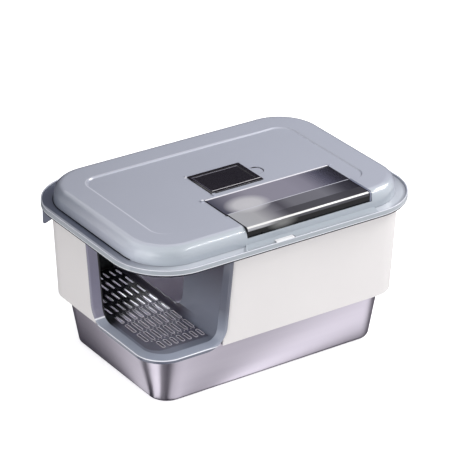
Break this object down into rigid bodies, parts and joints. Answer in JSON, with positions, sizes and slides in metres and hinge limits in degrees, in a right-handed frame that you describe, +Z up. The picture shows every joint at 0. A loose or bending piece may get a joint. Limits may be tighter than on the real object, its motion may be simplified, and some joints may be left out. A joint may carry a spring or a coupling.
{
  "type": "enclosed litter box",
  "caption": "Enclosed litter box: steel pan, white wall, corner entry over a slotted floor, and a hinged domed lid with a smoked bin flap, a sliding catch and a deodoriser pocket.",
  "frame": {"origin": "middle of the footprint on the floor, under the pan", "axes": "+X along the length with the entry at the -X end, +Y to the lid's hinges at the back, +Z up"},
  "size_m": [0.6, 0.4254, 0.321],
  "materials": {
    "steel_pan": "satin, faint vertical streaks at the corners",
    "white_wall": "warm white, satin",
    "slate_entry": "slate grey, satin",
    "slate_floor": "dark slate grey, satin",
    "lid_grey": "light blue-grey, glossy",
    "smoked": "smoked, glossy",
    "black_gloss": "black, glossy",
    "catch_white": "white, glossy",
    "bin_grey": "mid grey, satin",
    "pin_steel": "bright",
    "scoop_steel": "satin",
    "scoop_grip": "dark grey",
    "block_black": "dull black"
  },
  "bodies": {
    "pan": {"litter_pan": "steel_pan"},
    "upper": {"wall": "white_wall", "entry_bezel": "slate_entry", "entry_tunnel": "slate_entry", "rim_ring": "lid_grey", "hinge_pins": "pin_steel"},
    "plate": {"filter_plate": "slate_floor"},
    "catch": {"front_catch": "catch_white"},
    "lid": {"lid": "lid_grey", "lid_tongue": "lid_grey", "scoop_bin": "bin_grey", "scoop_head": "scoop_steel", "scoop_handle": "scoop_grip", "deodoriser_box": "lid_grey", "deodoriser_block": "block_black"},
    "flap": {"bin_flap": "smoked", "flap_pins": "pin_steel"},
    "cover": {"pocket_cover": "black_gloss", "cover_pins": "pin_steel"}
  },
  "joints": [
    {"name": "upper_lift", "type": "slide", "parent": "pan", "child": "upper", "axis": [0, 0, 1], "range_m": [0, 0.15]},
    {"name": "plate_lift", "type": "slide", "parent": "upper", "child": "plate", "axis": [0, 0, 1], "range_m": [0, 0.06]},
    {"name": "catch_slide", "type": "slide", "parent": "lid", "child": "catch", "axis": [1, 0, 0], "range_m": [0, 0.0036]},
    {"name": "lid_hinge", "type": "hinge", "parent": "upper", "child": "lid", "pos_m": [0, 0.2015, 0.2946], "axis": [-1, 0, 0], "range_deg": [0, 100]},
    {"name": "flap_hinge", "type": "hinge", "parent": "lid", "child": "flap", "pos_m": [0.0515, -0.0542, 0.3168], "axis": [-1, 0, 0], "range_deg": [0, 95]},
    {"name": "cover_hinge", "type": "hinge", "parent": "lid", "child": "cover", "pos_m": [-0.0528, 0, 0.318], "axis": [0, -1, 0], "range_deg": [0, 95]}
  ]
}
